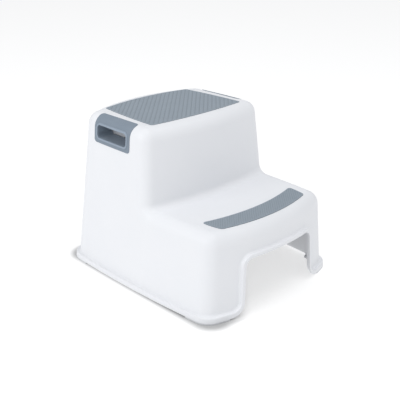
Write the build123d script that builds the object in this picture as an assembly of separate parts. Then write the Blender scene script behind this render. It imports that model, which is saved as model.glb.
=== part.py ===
"""Two-step child's step stool, moulded as one open-bottomed shell with soft grip pieces set into it.

Millimetres, +Z up. The origin is on the floor under the middle of the stool's overall depth and width.
The low tread faces -Y, and the stool is the same on its left (-X) and right (+X).
"""

import math
import os

from build123d import *

# Overall sizes
TOP_HEIGHT = 240.0  # floor to the standing face of the top pad
TREAD_HEIGHT = 126.0  # floor to the standing face of the tread pad
BASE_WIDTH = 283.0  # across the base lip at its widest
BASE_DEPTH = 348.0  # across the base lip, crest of the front bow to crest of the rear bow
PLAN_MIDDLE_Y = 2.0  # the arches cut the bows short, so their crests sit this far off the middle

# Shell walls
WALL = 3.0
SIDE_SLOPE = 0.086  # how far each side leans in, per millimetre of height
REAR_SLOPE = 0.095
FRONT_SLOPE = 0.045
FRONT_BOW = 22.0  # how far the front bulges between its two corners
REAR_BOW = 27.5
FRONT_PINCH = 9.2  # how much narrower each side is at the front corner than at its widest
REAR_PINCH = 3.0
WIDEST_Y = 11.0
FRONT_CORNER_RADIUS = 23.0
REAR_CORNER_RADIUS = 24.0

# Riser between the two steps
TREAD_RUN = 132.3  # crest of the front wall at the floor to the middle of the riser's foot
RISER_SLOPE = 0.092
RISER_PLAN_RADIUS = 500.0
RISER_FOOT_RADIUS = 10.0
TOP_SHOULDER_RADIUS = 19.0
STEP_EDGE_RADIUS = 19.5

# Lip round the base, carried up round the two arches
LIP_PROJECTION = 5.0
LIP_HEIGHT = 7.5
LIP_EDGE_RADIUS = 1.6
LIP_ROOT_RADIUS = 3.3
RIM_WIDTH = 5.0
RIM_TURN_RADIUS = 12.0
RIM_EASE = 2.5  # the hollow steps out behind lip and rims in two stages, this far apart

# Arches through the front and rear walls
ARCH_HEIGHT = 83.0
ARCH_LEAN = 5.5  # how far each side of the arch leans in over its height
LEG_WIDTH = 68.5  # each leg at the floor, from the base lip to the arch
ARCH_CORNER_RADIUS = 12.0
LEG_TOE_RADIUS = 20.0

# Feet
FOOT_HEIGHT = 2.5
FOOT_REACH = 38.0  # from the corner of the lip to each end of the foot
FOOT_BAND = 11.0  # width of the strip that follows the lip round the corner
FOOT_SETBACK = 0.4  # how far the foot stays inside the lip's outer edge
FOOT_RIDGE_WIDTH = 4.0
FOOT_RIDGE_HEIGHT = 4.0  # how far the foot's ridge stands up inside the flared lip
FOOT_RIDGE_GAP = 0.1
CORNERS = ((-1, -1), (1, -1), (-1, 1), (1, 1))  # (side, end) of each foot

# Grip pads on the two steps
PAD_THICKNESS = 2.0
PAD_PROUD = 0.8
PAD_GAP = 0.15
TOP_PAD_FRONT_MARGIN = 20.5  # riser's upper edge to the pad
TOP_PAD_REAR_MARGIN = 21.5  # crest of the rear wall at the deck to the pad
TOP_PAD_SIDE_MARGINS = (26.5, 28.5, 34.0)  # line of the side wall to the pad: front, middle, rear
TOP_PAD_FRONT_BOW = 5.2
TOP_PAD_REAR_BOW = 10.2
TOP_PAD_CORNER_RADIUS = 4.0
STEP_PAD_FRONT_MARGIN = 15.4  # crest of the front wall at the deck to the pad
STEP_PAD_DEPTH = 32.1
STEP_PAD_SIDE_MARGINS = (38.7, 35.2, 34.2)  # line of the side wall to the pad
STEP_PAD_FRONT_BOW = 13.0
STEP_PAD_REAR_BOW = 13.5
STEP_PAD_FRONT_CORNER_RADIUS = 7.0
STEP_PAD_REAR_CORNER_RADIUS = 3.5
PAD_EDGE_RADIUS = 0.5
TOP_STUD_INSET = 24.0
STEP_STUD_INSET = 22.5
STEP_STUD_COUNT = 4
STUD_DIAMETER = 5.0
STUD_LENGTH = 3.5
STUD_CLEARANCE = 0.1

# Handle grips in the two sides
HANDLE_FORWARD = 4.4  # how far the handles sit ahead of the middle of the top deck
HANDLE_DROP = 13.0  # top standing face to the upper edge of the finger opening
HANDLE_LENGTH = 67.0
HANDLE_HEIGHT = 19.0
HANDLE_CORNER_RADIUS = 5.0
GRIP_MARGIN = 7.5  # plate beside and below the finger opening
GRIP_REACH = 16.4  # how far the plate reaches in over the top from the line of the side wall
GRIP_THICKNESS = 1.8
GRIP_PROUD = 0.5
GRIP_GAP = 0.15
GRIP_CORNER_RADIUS = 5.0
SLEEVE_WALL = 2.0
SLEEVE_REACH = 8.5  # how far the sleeve runs in past the plate's upper edge
BEAD_WIDTH = 2.6
BEAD_PROUD = 0.7

# Stiffening ribs under the two steps
RIB_THICKNESS = 2.0
TOP_RIB_BEHIND_GRIP = 11.5  # inner edge of each grip to the rib behind it
TOP_RIB_DEPTH = 28.0
TOP_CROSS_RIB_AHEAD = 27.0  # middle of the handles to the cross rib ahead of them
TOP_CROSS_RIB_BEHIND = 37.5
TOP_CROSS_RIB_DEPTH = 36.0
STEP_RIB_SPACING = 50.0
STEP_RIB_DEPTH = 22.0
STEP_CROSS_RIB_BACK = 68.0  # crest of the front wall at the floor to the cross rib

# Levels, lines and half widths that several pieces share
TOP_DECK = TOP_HEIGHT - PAD_PROUD
STEP_DECK = TREAD_HEIGHT - PAD_PROUD
LIP_TOP = FOOT_HEIGHT + LIP_HEIGHT
WALL_HALF_WIDTH = BASE_WIDTH / 2 - LIP_PROJECTION
TOP_HALF_WIDTH = WALL_HALF_WIDTH - SIDE_SLOPE * TOP_DECK
STEP_HALF_WIDTH = WALL_HALF_WIDTH - SIDE_SLOPE * STEP_DECK
FRONT_CREST_Y = PLAN_MIDDLE_Y - BASE_DEPTH / 2 + LIP_PROJECTION
REAR_CREST_Y = PLAN_MIDDLE_Y + BASE_DEPTH / 2 - LIP_PROJECTION
RISER_Y = FRONT_CREST_Y + TREAD_RUN
RISER_TOP_Y = RISER_Y + RISER_SLOPE * (TOP_DECK - STEP_DECK)
TOP_REAR_Y = REAR_CREST_Y - REAR_SLOPE * TOP_DECK
TOP_PAD_FRONT_Y = RISER_TOP_Y + TOP_PAD_FRONT_MARGIN
TOP_PAD_REAR_Y = TOP_REAR_Y - TOP_PAD_REAR_MARGIN
TOP_PAD_HALVES = tuple(TOP_HALF_WIDTH - margin for margin in TOP_PAD_SIDE_MARGINS)
STEP_PAD_FRONT_Y = FRONT_CREST_Y + FRONT_SLOPE * STEP_DECK + STEP_PAD_FRONT_MARGIN
STEP_PAD_REAR_Y = STEP_PAD_FRONT_Y + STEP_PAD_DEPTH
STEP_PAD_HALVES = tuple(STEP_HALF_WIDTH - margin for margin in STEP_PAD_SIDE_MARGINS)
HANDLE_Y = (RISER_TOP_Y + TOP_REAR_Y) / 2 - HANDLE_FORWARD
HANDLE_BOTTOM = TOP_HEIGHT - HANDLE_DROP - HANDLE_HEIGHT
GRIP_TOP_HALF = TOP_HALF_WIDTH - GRIP_REACH
ARCH_FOOT_HALF = BASE_WIDTH / 2 - LEG_WIDTH
OUTSIDE = 60.0  # how far cutting shapes run past the stool


def four_bows(front, rear, left, right, middle_y):
    """A face inside four bowed edges; front and rear give (corner y, middle y), and each side has
    (front corner x, middle x, rear corner x)."""
    front_left, front_right = (left[0], front[0]), (right[0], front[0])
    rear_left, rear_right = (left[2], rear[0]), (right[2], rear[0])
    return make_face(
        [
            ThreePointArc(front_left, (0, front[1]), front_right),
            ThreePointArc(front_right, (right[1], middle_y), rear_right),
            ThreePointArc(rear_right, (0, rear[1]), rear_left),
            ThreePointArc(rear_left, (left[1], middle_y), front_left),
        ]
    )


def round_front_and_rear(face, front_radius, rear_radius):
    face = fillet(face.vertices().sort_by(Axis.Y)[-2:], rear_radius)
    return fillet(face.vertices().sort_by(Axis.Y)[:2], front_radius)


def wall_outline(z, grow=0.0):
    """Plan of the shell's outer walls at one height, offset outwards by grow."""
    front = FRONT_CREST_Y - grow + FRONT_SLOPE * z
    rear = REAR_CREST_Y + grow - REAR_SLOPE * z
    side = WALL_HALF_WIDTH + grow - SIDE_SLOPE * z
    right = (side - FRONT_PINCH, side, side - REAR_PINCH)
    left = tuple(-x for x in right)
    face = four_bows((front + FRONT_BOW, front), (rear - REAR_BOW, rear), left, right, WIDEST_Y)
    return Pos(0, 0, z) * round_front_and_rear(
        face, FRONT_CORNER_RADIUS + grow, REAR_CORNER_RADIUS + grow
    )


def over_the_step(grow):
    """The open space above the tread and ahead of the riser, as the riser's plan arc sweeps it."""
    deck = STEP_DECK + grow
    top = TOP_HEIGHT + OUTSIDE
    foot = (RISER_PLAN_RADIUS + grow, deck)
    head = (foot[0] - RISER_SLOPE * (top - deck), top)
    reach = RISER_PLAN_RADIUS + BASE_DEPTH
    profile = make_face(Polyline(head, foot, (reach, deck), (reach, top), close=True))
    profile = fillet(profile.vertices().sort_by_distance(foot)[0], RISER_FOOT_RADIUS - grow)
    sector = 2 * math.degrees(math.atan2(BASE_WIDTH, RISER_PLAN_RADIUS))
    space = Rot(0, 0, -90 - sector / 2) * revolve(Plane.XZ * profile, Axis.Z, sector)
    return Pos(0, RISER_Y + RISER_PLAN_RADIUS, 0) * space


def stepped_block(grow=0.0):
    """The solid two-step form with its rounded shoulders, offset outwards by grow."""
    top = TOP_DECK + grow
    block = loft([wall_outline(0, grow), wall_outline(top, grow)], ruled=True)
    block -= over_the_step(grow)
    deck = STEP_DECK + grow
    nose = Vector(0, FRONT_CREST_Y + FRONT_SLOPE * deck, deck)
    block = fillet(block.edges().sort_by_distance(nose)[0], STEP_EDGE_RADIUS + grow)
    return fillet(block.edges().group_by(Axis.Z)[-1], TOP_SHOULDER_RADIUS + grow)


def arch_profile(widen, bottom):
    """Half-open arch in the X-Z plane from bottom up, its sides widened outwards by widen."""
    slope = ARCH_LEAN / ARCH_HEIGHT
    top = ARCH_HEIGHT + widen
    low_half = ARCH_FOOT_HALF + widen - slope * bottom
    high_half = ARCH_FOOT_HALF + widen - slope * top
    wide = BASE_WIDTH
    points = [
        (-wide, bottom - OUTSIDE),
        (wide, bottom - OUTSIDE),
        (wide, bottom),
        (low_half, bottom),
        (high_half, top),
        (-high_half, top),
        (-low_half, bottom),
        (-wide, bottom),
    ]
    return make_face(Polyline(*points, close=True))


def rounded_arch(widen, bottom, turn_radius):
    face = arch_profile(widen, bottom)
    face = fillet(face.vertices().sort_by(Axis.Y)[-2:], ARCH_CORNER_RADIUS + widen)
    turns = [v for v in face.vertices() if v.Y == bottom and abs(v.X) < BASE_WIDTH / 2]
    return fillet(turns, turn_radius)


def lip_and_rims(inset=0.0, ease=0.0):
    """The lip that runs round the base and up round both arches, filled to the middle of the stool.
    Inset shrinks it on every side, for the hollow behind it; ease makes it wider but flatter."""
    projection = LIP_PROJECTION - inset - ease
    spread = ease - inset
    band = rounded_arch(RIM_WIDTH + spread, LIP_TOP + spread, RIM_TURN_RADIUS - spread)
    band = extrude(Plane.XZ * band, BASE_DEPTH, both=True)
    top = ARCH_HEIGHT + 2 * RIM_WIDTH
    grown = loft([wall_outline(0, projection), wall_outline(top, projection)], ruled=True)
    return band & grown


def lip_corner(side, end):
    """Where the lip's side and end edges would cross at floor level; side and end are -1 or +1."""
    pinch, bow = (FRONT_PINCH, FRONT_BOW) if end < 0 else (REAR_PINCH, REAR_BOW)
    return Vector(side * (BASE_WIDTH / 2 - pinch), PLAN_MIDDLE_Y + end * (BASE_DEPTH / 2 - bow))


def corner_disc(side, end, thickness):
    """A flat disc of the given thickness standing on the floor, centred on one corner of the lip."""
    corner = lip_corner(side, end)
    upright = (Align.CENTER, Align.CENTER, Align.MIN)
    return Pos(corner.X, corner.Y, 0) * Cylinder(FOOT_REACH, thickness, align=upright)


def foot(side, end):
    """A soft foot: a strip under the lip's corner, with a ridge that fits up inside the flared lip."""
    inset = LIP_PROJECTION - FOOT_SETBACK
    strip = extrude(wall_outline(0, inset), FOOT_HEIGHT)
    strip -= extrude(wall_outline(0, inset - FOOT_BAND), FOOT_HEIGHT)
    crest = FOOT_HEIGHT + FOOT_RIDGE_HEIGHT
    inset = LIP_PROJECTION - WALL - FOOT_RIDGE_GAP
    outside, inside = wall_outline(crest, inset), wall_outline(crest, inset - FOOT_RIDGE_WIDTH)
    ridge = extrude(outside, -FOOT_RIDGE_HEIGHT) - extrude(inside, -FOOT_RIDGE_HEIGHT)
    return corner_disc(side, end, crest) & (strip + ridge)


def ribs():
    """Stiffening plates that hang from the underside of the two decks, run long into the walls."""
    under_top, under_step = TOP_DECK - WALL, STEP_DECK - WALL
    rib_x = GRIP_TOP_HALF - TOP_RIB_BEHIND_GRIP
    front_rib_y, rear_rib_y = HANDLE_Y - TOP_CROSS_RIB_AHEAD, HANDLE_Y + TOP_CROSS_RIB_BEHIND
    plates = []
    for x in (-rib_x, rib_x):
        length = rear_rib_y - RISER_Y
        middle = Pos(x, rear_rib_y - length / 2, under_top)
        plates.append(middle * Box(RIB_THICKNESS, length, 2 * TOP_RIB_DEPTH))
    for y in (front_rib_y, rear_rib_y):
        width = 2 * rib_x + 2 * RIB_THICKNESS
        plates.append(Pos(0, y, under_top) * Box(width, RIB_THICKNESS, 2 * TOP_CROSS_RIB_DEPTH))
    for x in (-STEP_RIB_SPACING, 0, STEP_RIB_SPACING):
        middle = Pos(x, RISER_Y - TREAD_RUN / 2, under_step)
        plates.append(middle * Box(RIB_THICKNESS, TREAD_RUN, 2 * STEP_RIB_DEPTH))
    width = 2 * WALL_HALF_WIDTH
    crossing = Pos(0, FRONT_CREST_Y + STEP_CROSS_RIB_BACK, under_step)
    plates.append(crossing * Box(width, RIB_THICKNESS, 2 * STEP_RIB_DEPTH))
    return plates


def hollow():
    """The space inside the shell, left solid where the ribs stand."""
    space = stepped_block(-WALL) + lip_and_rims(WALL) + lip_and_rims(WALL, RIM_EASE)
    for plate in ribs():
        space -= plate
    return space


def top_pad_plan(grow=0.0):
    """Plan of the top pad, four bowed edges offset outwards by grow."""
    front, rear = TOP_PAD_FRONT_Y - grow, TOP_PAD_REAR_Y + grow
    halves = tuple(half + grow for half in TOP_PAD_HALVES)
    middle_y = (front + rear) / 2
    edges = (front + TOP_PAD_FRONT_BOW, front), (rear - TOP_PAD_REAR_BOW, rear)
    face = four_bows(*edges, tuple(-x for x in halves), halves, middle_y)
    return round_front_and_rear(face, TOP_PAD_CORNER_RADIUS + grow, TOP_PAD_CORNER_RADIUS + grow)


def step_pad_plan(grow=0.0):
    """Plan of the tread pad, a strip curved along the bow of the tread's front edge."""
    front, rear = STEP_PAD_FRONT_Y - grow, STEP_PAD_REAR_Y + grow
    halves = tuple(half + grow for half in STEP_PAD_HALVES)
    edges = (front + STEP_PAD_FRONT_BOW, front), (rear + STEP_PAD_REAR_BOW, rear)
    middle_y = (edges[0][0] + edges[1][0]) / 2
    face = four_bows(*edges, tuple(-x for x in halves), halves, middle_y)
    return round_front_and_rear(
        face, STEP_PAD_FRONT_CORNER_RADIUS + grow, STEP_PAD_REAR_CORNER_RADIUS + grow
    )


def top_stud_places():
    inset = TOP_PAD_HALVES[-1] - TOP_STUD_INSET
    ys = (TOP_PAD_FRONT_Y + TOP_STUD_INSET, TOP_PAD_REAR_Y - TOP_STUD_INSET)
    return [(x, y) for x in (-inset, inset) for y in ys]


def step_stud_places():
    """Studs evenly along the middle line of the curved strip."""
    half = STEP_PAD_HALVES[-1]
    middle = (STEP_PAD_FRONT_Y + STEP_PAD_REAR_Y) / 2
    bow = (STEP_PAD_FRONT_BOW + STEP_PAD_REAR_BOW) / 2
    reach = half - STEP_STUD_INSET
    step = 2 * reach / (STEP_STUD_COUNT - 1)
    xs = [step * i - reach for i in range(STEP_STUD_COUNT)]
    return [(x, middle + bow * (x / half) ** 2) for x in xs]


def pad(plan, deck, stud_places):
    """A grip pad set into a deck, with round studs that pass through the deck below it."""
    floor = deck + PAD_PROUD - PAD_THICKNESS
    sheet = Pos(0, 0, floor) * extrude(plan, PAD_THICKNESS)
    rim = sheet.edges().group_by(Axis.Z)[-1]
    sheet = fillet(rim, PAD_EDGE_RADIUS)
    for x, y in stud_places:
        sheet += Pos(x, y, floor - STUD_LENGTH / 2) * Cylinder(STUD_DIAMETER / 2, STUD_LENGTH)
    return sheet


def pad_seat(plan, deck, stud_places):
    """What a pad needs cut from the shell: its recess and the holes for its studs."""
    floor = deck + PAD_PROUD - PAD_THICKNESS
    seat = Pos(0, 0, floor) * extrude(plan, OUTSIDE)
    radius = STUD_DIAMETER / 2 + STUD_CLEARANCE
    for x, y in stud_places:
        seat += Pos(x, y, floor) * Cylinder(radius, 4 * WALL)
    return seat


def grip_region(grow=0.0):
    """A block round the left handle grip, whose rounded edges are the corners of the grip's plate."""
    left, right = -(WALL_HALF_WIDTH + OUTSIDE), -(GRIP_TOP_HALF - grow)
    bottom, top = HANDLE_BOTTOM - GRIP_MARGIN - grow, TOP_HEIGHT + OUTSIDE
    length = HANDLE_LENGTH + 2 * (GRIP_MARGIN + grow)
    block = Pos((left + right) / 2, HANDLE_Y, (bottom + top) / 2) * Box(
        right - left, length, top - bottom
    )
    lower = block.edges().filter_by(Axis.X).group_by(Axis.Z)[0]
    upper = block.edges().filter_by(Axis.Z).group_by(Axis.X)[-1]
    return fillet(lower + upper, GRIP_CORNER_RADIUS + grow)


def handle_bar(grow, inner_x):
    """A rounded bar along X that fills the left finger opening, offset outwards by grow."""
    outline = RectangleRounded(
        HANDLE_LENGTH + 2 * grow, HANDLE_HEIGHT + 2 * grow, HANDLE_CORNER_RADIUS + grow
    )
    outer_x = -(WALL_HALF_WIDTH + OUTSIDE)
    middle = Plane((outer_x, HANDLE_Y, HANDLE_BOTTOM + HANDLE_HEIGHT / 2), (0, 1, 0), (1, 0, 0))
    return extrude(middle * outline, inner_x - outer_x)


def left_grip():
    """The soft surround of the left handle: a plate over the shoulder, a bead and a sleeve."""
    inner_x = SLEEVE_REACH - GRIP_TOP_HALF
    core = stepped_block(GRIP_PROUD - GRIP_THICKNESS)
    plate = (stepped_block(GRIP_PROUD) - core) & grip_region()
    bead = (stepped_block(GRIP_PROUD + BEAD_PROUD) - core) & handle_bar(BEAD_WIDTH, inner_x)
    sleeve = stepped_block(GRIP_PROUD) & handle_bar(SLEEVE_WALL, inner_x)
    return (plate + bead + sleeve) - handle_bar(0, 0)


def grip_seat():
    """What the left grip needs cut from the shell: its shallow seat and the hole for its sleeve."""
    core = stepped_block(GRIP_PROUD - GRIP_THICKNESS)
    seat = (grip_region(GRIP_GAP) & stepped_block(2 * GRIP_THICKNESS)) - core
    return seat + handle_bar(SLEEVE_WALL + GRIP_GAP, -GRIP_TOP_HALF)


def body_shell():
    """The one-piece moulding: walls, decks, lip, arches, ribs and the seats for the grips."""
    outer = stepped_block() + lip_and_rims()
    wall_x = WALL_HALF_WIDTH - SIDE_SLOPE * LIP_TOP
    root = Vector(-wall_x, WIDEST_Y, LIP_TOP)
    outer = fillet(outer.edges().sort_by_distance(root)[0], LIP_ROOT_RADIUS)
    brow = Vector(-wall_x - LIP_PROJECTION, WIDEST_Y, LIP_TOP)
    outer = fillet(outer.edges().sort_by_distance(brow)[0], LIP_EDGE_RADIUS)
    shell = outer - hollow()
    shell -= Box(4 * BASE_WIDTH, 4 * BASE_DEPTH, 2 * FOOT_HEIGHT)
    opening = extrude(Plane.XZ * rounded_arch(0, FOOT_HEIGHT, LEG_TOE_RADIUS), BASE_DEPTH, both=True)
    shell -= opening
    shell -= pad_seat(top_pad_plan(PAD_GAP), TOP_DECK, top_stud_places())
    shell -= pad_seat(step_pad_plan(PAD_GAP), STEP_DECK, step_stud_places())
    seat = grip_seat()
    shell -= seat
    shell -= mirror(seat, Plane.YZ)
    return shell


def write(name, piece):
    export_step(piece, os.path.join("parts", name + ".step"))


def main():
    os.makedirs("parts", exist_ok=True)
    write("body_shell", body_shell())
    write("top_grip_pad", pad(top_pad_plan(), TOP_DECK, top_stud_places()))
    write("step_grip_pad", pad(step_pad_plan(), STEP_DECK, step_stud_places()))
    grip = left_grip()
    write("left_handle_grip", grip)
    write("right_handle_grip", mirror(grip, Plane.YZ))
    for side, end in CORNERS:
        name = "_".join(("foot", "front" if end < 0 else "rear", "left" if side < 0 else "right"))
        write(name, foot(side, end))


if __name__ == "__main__":
    main()
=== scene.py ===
import math

import bmesh
import bpy
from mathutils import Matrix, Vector


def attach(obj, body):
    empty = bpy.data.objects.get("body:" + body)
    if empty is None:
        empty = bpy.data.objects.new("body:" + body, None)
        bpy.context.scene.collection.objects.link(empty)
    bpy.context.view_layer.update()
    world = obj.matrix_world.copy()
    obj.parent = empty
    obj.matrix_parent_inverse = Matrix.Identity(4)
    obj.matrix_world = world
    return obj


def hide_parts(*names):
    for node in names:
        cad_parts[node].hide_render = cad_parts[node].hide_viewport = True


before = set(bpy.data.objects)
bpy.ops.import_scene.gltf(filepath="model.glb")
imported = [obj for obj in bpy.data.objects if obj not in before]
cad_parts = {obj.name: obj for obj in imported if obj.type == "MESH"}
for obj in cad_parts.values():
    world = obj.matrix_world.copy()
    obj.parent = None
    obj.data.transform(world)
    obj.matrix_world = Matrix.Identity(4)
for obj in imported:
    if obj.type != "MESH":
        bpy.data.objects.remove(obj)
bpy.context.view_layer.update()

MM = 0.001

# Treads: CAD pad, name of the grooved piece, groove pitch, groove width and groove depth
TREADS = (
    ("top_grip_pad", "top_tread", 6.24 * MM, 1.9 * MM, 0.55 * MM),
    ("step_grip_pad", "step_tread", 3.12 * MM, 1.0 * MM, 0.35 * MM),
)
TREAD_BORDER = 1.3 * MM  # plain margin between a pad's edge and its grooves
SHARP_EDGE = math.radians(20)
SAME_PLACE = 1e-6  # vertices closer than this are one vertex
CUT_TOLERANCE = 1e-7

# Finger opening of the handles, in the Y-Z plane, round which the handles' painted highlight and
# shade are drawn
SLOT_MIDDLE = (57.6 * MM, 217.5 * MM)
SLOT_HALF = (33.5 * MM, 9.5 * MM)
SLOT_CORNER = 5 * MM

# Colours
SHELL_COOL, SHELL_WARM = (0.800, 0.815, 0.845), (0.835, 0.845, 0.868)
SHELL_SCUFFED = (0.60, 0.61, 0.63)
HANDLE_DARK, HANDLE_LIGHT = (0.190, 0.235, 0.290), (0.230, 0.278, 0.335)
PAD_DARK, PAD_LIGHT = (0.250, 0.300, 0.350), (0.300, 0.350, 0.400)
FOOT_DARK, FOOT_LIGHT, FOOT_LOW_GREY = (0.66, 0.68, 0.70), (0.74, 0.75, 0.77), (0.40, 0.41, 0.42)
DUST = (0.62, 0.64, 0.66)
BLACK, WHITE = (0.0, 0.0, 0.0), (1.0, 1.0, 1.0)
FLOOR_GREY = (0.50, 0.50, 0.50)
SKY = (0.97, 0.98, 1.0)

# Studio
FLOOR_HALF = 9.0
FLOOR_GLOW = 0.60
SKY_STRENGTH = 0.62
SHADOW_FOOTPRINT_HALF = (0.140, 0.168)  # painted shadow: the floor's glow is left out under the stool
SHADOW_FOOTPRINT_CORNER = 0.03
SOFTBOXES = (  # name, place, what it faces, size, power
    ("left_softbox", (-2.2, 0.2, 1.5), (0, 0, 0.12), 1.6, 19),
    ("top_softbox", (0.1, -0.6, 2.6), (0, 0, 0.1), 1.3, 18),
)
CAMERA_PLACE = (-0.7072, -0.7336, 0.5314)
CAMERA_TURN = (67.121, 0, -44.025)  # degrees
CAMERA_LENS, CAMERA_SENSOR = 64.73, 36.0


class Signal:
    """The output of one shader node. Arithmetic on it adds the Math nodes that it needs."""

    def __init__(self, finish, socket):
        self.finish, self.socket = finish, socket

    def math(self, operation, *values):
        return self.finish.node("Math", {"operation": operation}, dict(enumerate(values)))

    def __add__(self, other):
        return self.math("ADD", self, other)

    def __sub__(self, other):
        return self.math("SUBTRACT", self, other)

    def __rsub__(self, other):
        return self.math("SUBTRACT", other, self)

    def __mul__(self, other):
        return self.math("MULTIPLY", self, other)

    __radd__ = __add__
    __rmul__ = __mul__

    def __abs__(self):
        return self.math("ABSOLUTE", self)

    def root(self):
        return self.math("SQRT", self)

    def larger(self, other):
        return self.math("MAXIMUM", self, other)

    def smaller(self, other):
        return self.math("MINIMUM", self, other)

    def between(self, low, high):
        """0 where the value is at low, 1 where it is at high, eased in between."""
        settings = {"interpolation_type": "SMOOTHSTEP"}
        return self.finish.node("MapRange", settings, {"Value": self, 1: low, 2: high})


class Finish:
    """One material, built round its Principled shader."""

    def __init__(self, name, **sockets):
        self.material = bpy.data.materials.new(name)
        self.material.use_nodes = True
        self.tree = self.material.node_tree
        self.shader = self.tree.nodes["Principled BSDF"]
        for socket, value in sockets.items():
            self.shader.inputs[socket.replace("_", " ")].default_value = value
        self.place = self.node("TexCoord", {}, {}, "Object")

    def node(self, kind, settings, sockets, out=0):
        """Adds a node by its type, with its settings and the values or links of its sockets."""
        made = self.tree.nodes.new("ShaderNode" + kind)
        for key, value in settings.items():
            setattr(made, key, value)
        for key, value in sockets.items():
            if isinstance(value, Signal):
                self.tree.links.new(value.socket, made.inputs[key])
            else:
                made.inputs[key].default_value = value
        return Signal(self, made.outputs[out])

    def link(self, signal, socket):
        self.tree.links.new(signal.socket, self.shader.inputs[socket])

    def stretched(self, scale):
        return self.node("Mapping", {}, {"Vector": self.place, "Scale": scale})

    def noise(self, size, detail=2.0, rough=0.5, where=None):
        """Soft noise from 0 to 1 whose features are about size metres across."""
        sockets = {
            "Vector": where or self.place,
            "Scale": 1 / size,
            "Detail": detail,
            "Roughness": rough,
        }
        return self.node("TexNoise", {}, sockets)

    def mix(self, factor, first, second):
        """A colour between two colours."""
        settings = {"data_type": "RGBA", "clamp_factor": True}
        ends = {6: first, 7: second}
        opaque = {key: end if isinstance(end, Signal) else (*end, 1.0) for key, end in ends.items()}
        return self.node("Mix", settings, {0: factor, **opaque}, 2)

    def bump(self, height, depth, under=None):
        """A Bump normal whose relief is depth metres from its lowest to its highest."""
        sockets = {"Height": height, "Distance": depth, "Strength": 1.0}
        if under:
            sockets["Normal"] = under
        return self.node("Bump", {}, sockets)

    def axis(self, number):
        """Metres along X, Y or Z."""
        return self.node("SeparateXYZ", {}, {0: self.place}, number)

    def height(self):
        """Metres above the floor."""
        return self.axis(2)

    def box_distance(self, across, up, centre, half, radius):
        """Metres outside a rectangle with rounded corners, less than 0 inside it."""
        beyond = []
        for place, middle, reach in zip((across, up), centre, half):
            beyond.append(abs(place - middle) - (reach - radius))
        outer = [side.larger(0.0) for side in beyond]
        corner = (outer[0] * outer[0] + outer[1] * outer[1]).root()
        return corner + beyond[0].larger(beyond[1]).smaller(0.0) - radius


def shaded(tone, share):
    return tuple(share * part for part in tone)


def moulded_shell():
    """Satin white polypropylene with a fine spark-eroded grain, faint scuffs and dusty low edges."""
    finish = Finish("satin_white_polypropylene", IOR=1.49, Specular_IOR_Level=0.42)
    grain = finish.noise(0.55 * MM, detail=3.0, rough=0.6)
    waves = finish.noise(55 * MM, detail=1.0)
    mottle = finish.noise(16 * MM, detail=3.0)
    strokes = finish.noise(1.0, detail=4.0, rough=0.7, where=finish.stretched((620, 55, 340)))
    scuff = strokes.between(0.66, 0.78) * mottle.between(0.52, 0.72)
    low = 1 - finish.height().between(3 * MM, 26 * MM)
    tint = mottle * 0.35 + waves * 0.65
    body = finish.mix(tint, SHELL_COOL, SHELL_WARM)
    worn = finish.mix(scuff * 0.30 + low * mottle * 0.10, body, SHELL_SCUFFED)
    finish.link(worn, "Base Color")
    rough = 0.40 + grain * 0.10 + mottle * 0.06 + scuff * 0.16
    finish.link(rough, "Roughness")
    relief = finish.bump(waves, 0.20 * MM)
    finish.link(finish.bump(grain, 0.020 * MM, relief), "Normal")
    return finish.material


def soft_rubber(name, dark, light, sheen, shade):
    """Soft matte rubber. Shade takes the finish and its body colour, and gives the shaded colour."""
    finish = Finish(name, IOR=1.50, Specular_IOR_Level=0.40, Sheen_Weight=sheen)
    finish.shader.inputs["Sheen Roughness"].default_value = 0.45
    grain = finish.noise(0.35 * MM, detail=3.0, rough=0.65)
    cloud = finish.noise(22 * MM, detail=3.0)
    specks = finish.noise(1.3 * MM, detail=2.0)
    tint = cloud * 0.55 + specks * 0.30 + grain * 0.15
    body = shade(finish, finish.mix(tint, dark, light))
    dust = cloud.between(0.56, 0.74) * specks.between(0.5, 0.7)
    finish.link(finish.mix(dust * 0.10, body, DUST), "Base Color")
    finish.link(0.56 + grain * 0.14 + cloud * 0.08 + dust * 0.08, "Roughness")
    finish.link(finish.bump(grain, 0.030 * MM), "Normal")
    return finish.material


def tread_rubber(name, top, depth):
    """Rubber of a pad with painted shade in its grooves, below top."""

    def shade(finish, body):
        groove_shade = (top - finish.height()).between(0, depth)
        # Painted shade: the grooves are darkened towards a dim copy of the pad colour
        return finish.mix(groove_shade * 0.42, body, shaded(PAD_DARK, 0.42))

    return soft_rubber(name, PAD_DARK, PAD_LIGHT, 0.10, shade)


def handle_rubber():
    """Rubber of the handles, with a painted highlight on the bead round the opening and painted
    shade inside it.
    """

    def shade(finish, body):
        away = finish.box_distance(
            finish.axis(1), finish.axis(2), SLOT_MIDDLE, SLOT_HALF, SLOT_CORNER
        )
        # Painted highlight: a paler band on the bead round the opening
        bead = away.between(-0.2 * MM, 0.5 * MM) * (1 - away.between(2.2 * MM, 3.2 * MM))
        body = finish.mix(bead * 0.55, body, shaded(HANDLE_LIGHT, 1.5))
        # Painted shade: darker inside the opening
        inside = 1 - away.between(-1.0 * MM, 0)
        return finish.mix(inside * 0.60, body, shaded(HANDLE_DARK, 0.35))

    return soft_rubber("handle_rubber", HANDLE_DARK, HANDLE_LIGHT, 0.12, shade)


def foot_rubber():
    """Milky soft rubber of the feet, greyed where it meets the floor."""
    finish = Finish("milky_foot_rubber", IOR=1.48, Specular_IOR_Level=0.35)
    grain = finish.noise(0.5 * MM, detail=3.0, rough=0.6)
    cloud = finish.noise(9 * MM, detail=3.0)
    # Greyer along the bottom 1.6 mm, where the foot meets the floor
    touch = 1 - finish.height().between(0, 1.6 * MM)
    body = finish.mix(cloud, FOOT_DARK, FOOT_LIGHT)
    finish.link(finish.mix(touch * (0.25 + cloud * 0.35), body, FOOT_LOW_GREY), "Base Color")
    finish.link(0.50 + grain * 0.15 + touch * 0.12, "Roughness")
    finish.link(finish.bump(grain, 0.025 * MM), "Normal")
    return finish.material


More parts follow.
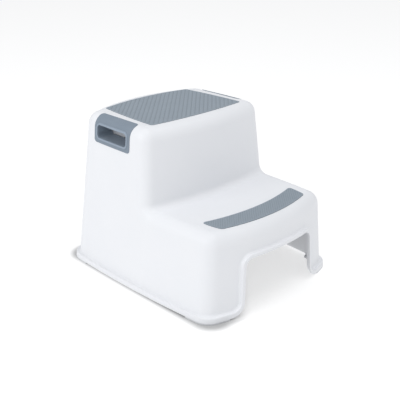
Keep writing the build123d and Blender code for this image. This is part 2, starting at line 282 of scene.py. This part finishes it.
def pale_floor():
    """White floor that glows softly, with a painted shadow under the stool, where no one looks in:
    the glow is left out there.
    """
    finish = Finish("pale_floor", Roughness=0.9, Specular_IOR_Level=0.0)
    finish.shader.inputs["Base Color"].default_value = (*FLOOR_GREY, 1.0)
    finish.shader.inputs["Emission Strength"].default_value = FLOOR_GLOW
    x, y = finish.axis(0), finish.axis(1)
    away = finish.box_distance(x, y, (0.0, 0.0), SHADOW_FOOTPRINT_HALF, SHADOW_FOOTPRINT_CORNER)
    # Painted shadow: no glow inside the footprint, eased across its edge as a painted contact
    # shadow; the glow stays on the open front-right side
    outside = away.between(-0.008, 0.008)
    open_side = (x - y).between(0.050, 0.110)
    finish.link(finish.mix(outside.larger(open_side), BLACK, WHITE), "Emission Color")
    return finish.material


def wear(piece, material):
    """Gives a piece one material all over."""
    piece.data.materials.clear()
    piece.data.materials.append(material)


def grid_steps(bm, across, pitch):
    """Whole steps of a set of parallel grooves that reach over every vertex."""
    places = [v.co.dot(across) / pitch for v in bm.verts]
    return range(math.floor(min(places)), math.ceil(max(places)) + 1)


def cut_lines(bm, across, places):
    """Cuts the marked faces along parallel lines, so that each line is a row of edges."""
    for place in places:
        faces = [f for f in bm.faces if f.material_index == 1]
        edges = {e for f in faces for e in f.edges}
        verts = {v for f in faces for v in f.verts}
        bmesh.ops.bisect_plane(
            bm,
            geom=[*verts, *edges, *faces],
            dist=CUT_TOLERANCE,
            plane_co=across * place,
            plane_no=across,
        )


def new_piece(name, bm):
    """An object made of the bmesh, which is used up."""
    mesh = bpy.data.meshes.new(name)
    bm.to_mesh(mesh)
    bm.free()
    piece = bpy.data.objects.new(name, mesh)
    bpy.context.scene.collection.objects.link(piece)
    return piece


def grooved_tread(node, name, pitch, width, depth):
    """A grip pad whose flat top is cut into small diamonds by two crossing sets of V grooves,
    inside a plain border. It stands for the plain pad of the CAD model."""
    bm = bmesh.new()
    bm.from_mesh(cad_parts[node].data)
    bmesh.ops.remove_doubles(bm, verts=bm.verts, dist=SAME_PLACE)
    top = max(v.co.z for v in bm.verts)
    level = [f for f in bm.faces if min(v.co.z for v in f.verts) > top - SAME_PLACE]
    field = bmesh.ops.dissolve_faces(bm, faces=level, use_verts=False)["region"]
    bmesh.ops.inset_region(bm, faces=field, thickness=TREAD_BORDER, use_even_offset=True)
    slope = bmesh.ops.inset_region(bm, faces=field, thickness=width / 2, use_even_offset=True)
    for face in [*field, *slope["faces"]]:
        face.material_index = 1
    crossing = [Vector((1, -1, 0)).normalized(), Vector((1, 1, 0)).normalized()]
    for across in crossing:
        for side in (-width / 2, 0, width / 2):
            steps = grid_steps(bm, across, pitch)
            cut_lines(bm, across, [step * pitch + side for step in steps])
    for vert in bm.verts:
        if vert.link_faces and all(f.material_index == 1 for f in vert.link_faces):
            for across in crossing:
                place = vert.co.dot(across) / pitch
                if abs(place - round(place)) * pitch < SAME_PLACE:
                    vert.co.z = top - depth
    for face in bm.faces:
        face.material_index = 0
    piece = new_piece(name, bm)
    piece.data.shade_smooth()
    piece.data.set_sharp_from_angle(angle=SHARP_EDGE)
    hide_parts(node)
    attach(piece, "root")
    return piece, top


def dress():
    """Gives every piece its finish, and the two pads their tread."""
    wear(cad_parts["body_shell"], moulded_shell())
    grip = handle_rubber()
    for side in ("left", "right"):
        wear(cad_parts[side + "_handle_grip"], grip)
    foot = foot_rubber()
    for end in ("front", "rear"):
        for side in ("left", "right"):
            wear(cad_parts[f"foot_{end}_{side}"], foot)
    for node, name, pitch, width, depth in TREADS:
        piece, top = grooved_tread(node, name, pitch, width, depth)
        wear(piece, tread_rubber(name + "_rubber", top, depth))


def studio_floor():
    """A wide pale floor."""
    bm = bmesh.new()
    bmesh.ops.create_grid(bm, x_segments=1, y_segments=1, size=FLOOR_HALF)
    floor = new_piece("studio_floor", bm)
    wear(floor, pale_floor())


def softbox(name, place, target, size, power):
    """A square soft light that faces a point."""
    light = bpy.data.lights.new(name, "AREA")
    light.shape, light.size, light.energy = "SQUARE", size, power
    lamp = bpy.data.objects.new(name, light)
    bpy.context.scene.collection.objects.link(lamp)
    lamp.location = place
    lamp.rotation_euler = (Vector(target) - Vector(place)).to_track_quat("-Z", "Y").to_euler()


def studio_light():
    world = bpy.data.worlds.new("studio")
    world.use_nodes = True
    sky = world.node_tree.nodes["Background"]
    sky.inputs["Color"].default_value = (*SKY, 1.0)
    sky.inputs["Strength"].default_value = SKY_STRENGTH
    bpy.context.scene.world = world
    bpy.context.scene.view_settings.view_transform = "Standard"
    for box in SOFTBOXES:
        softbox(*box)


def camera():
    data = bpy.data.cameras.new("camera")
    data.lens, data.sensor_width = CAMERA_LENS, CAMERA_SENSOR
    eye = bpy.data.objects.new("camera", data)
    bpy.context.scene.collection.objects.link(eye)
    eye.location = CAMERA_PLACE
    eye.rotation_euler = [math.radians(turn) for turn in CAMERA_TURN]
    bpy.context.scene.camera = eye


dress()
studio_floor()
studio_light()
camera()
